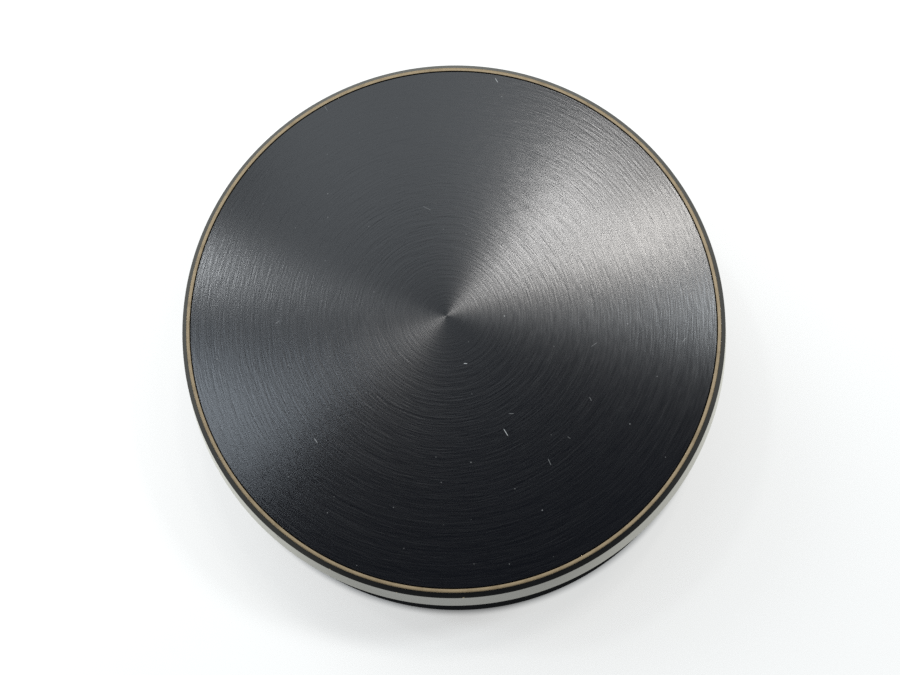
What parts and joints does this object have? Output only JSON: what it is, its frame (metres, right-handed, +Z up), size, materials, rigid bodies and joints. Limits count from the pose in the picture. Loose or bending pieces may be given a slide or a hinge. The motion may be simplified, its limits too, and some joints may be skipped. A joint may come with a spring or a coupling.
{
  "type": "record weight clamp",
  "caption": "Round black record weight: a turned metal puck with an inset spun plate, gilt hoop and flared rubber skirt that drops over the spindle to hold a record flat.",
  "frame": {"origin": "middle of the foot, on the plane where the skirt stands on the record's label", "axes": "+Z up along the spindle axis; X and Y are free, because the part is round"},
  "size_m": [0.08, 0.08, 0.0262],
  "materials": {
    "black_enamel": "gloss black enamel over a turned brass weight",
    "spun_black": "black anodised with a spun, concentric grain",
    "gilt": "satin champagne-gold anodised",
    "black_rubber": "matt moulded"
  },
  "bodies": {
    "root": {"weight_body": "black_enamel", "top_plate": "spun_black", "trim_ring": "gilt", "rubber_skirt": "black_rubber"}
  },
  "joints": []
}
